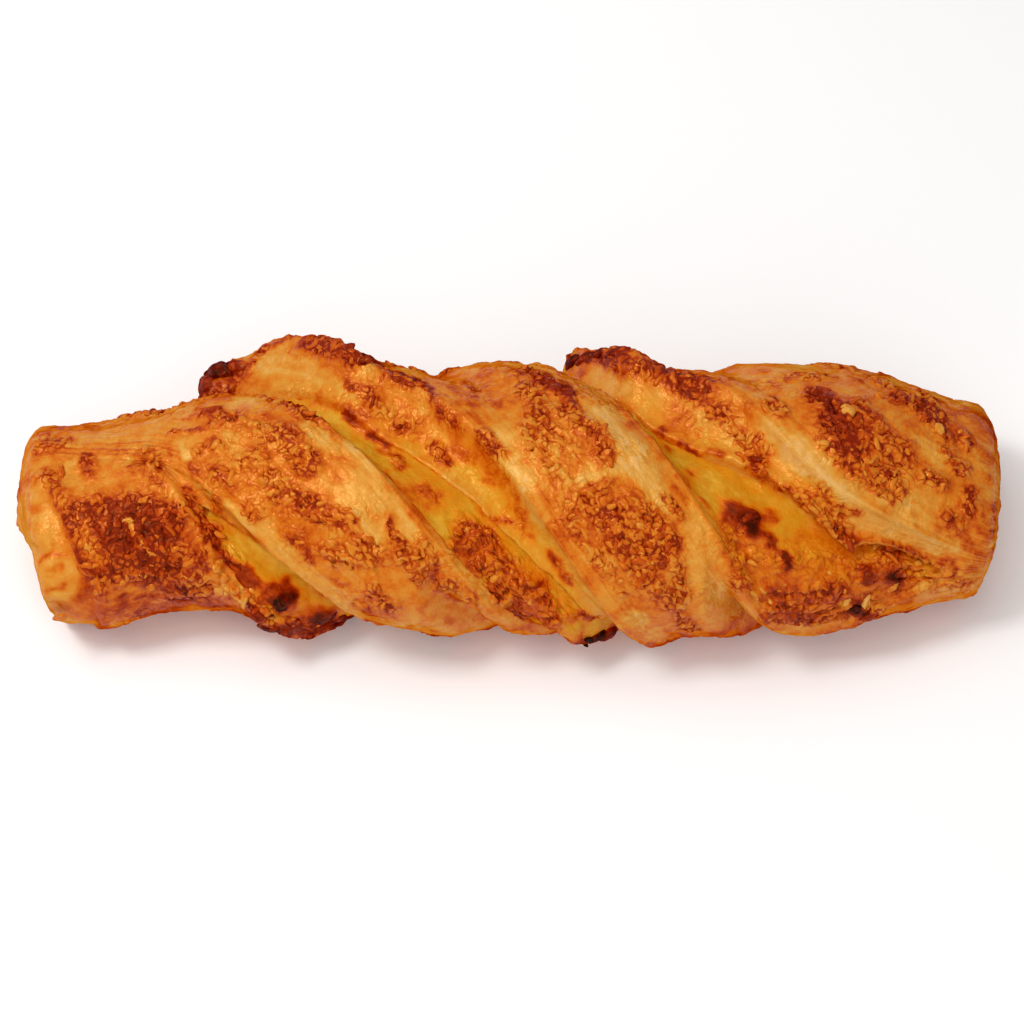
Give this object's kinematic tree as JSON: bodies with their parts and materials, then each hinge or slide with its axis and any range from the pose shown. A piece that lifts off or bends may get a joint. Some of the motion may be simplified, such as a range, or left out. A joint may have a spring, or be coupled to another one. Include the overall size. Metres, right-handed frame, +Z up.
{
  "type": "cheese twist",
  "caption": "Baked puff pastry stick, twisted round a ribbon of melted cheese that shows in its spiral furrows, with browned grated cheese on top.",
  "frame": {"origin": "middle of the underside, on the surface that the twist lies on", "axes": "+X along the twist, from its slanted end to its round end; +Y across it, away from the viewer; +Z up"},
  "size_m": [0.221, 0.0727, 0.0456],
  "materials": {
    "baked_pastry": "egg-washed puff pastry, golden, with browned cheese",
    "melted_cheese": "melted cheese, satin"
  },
  "bodies": {
    "root": {"pastry": "baked_pastry", "cheese_filling": "melted_cheese"}
  },
  "joints": []
}
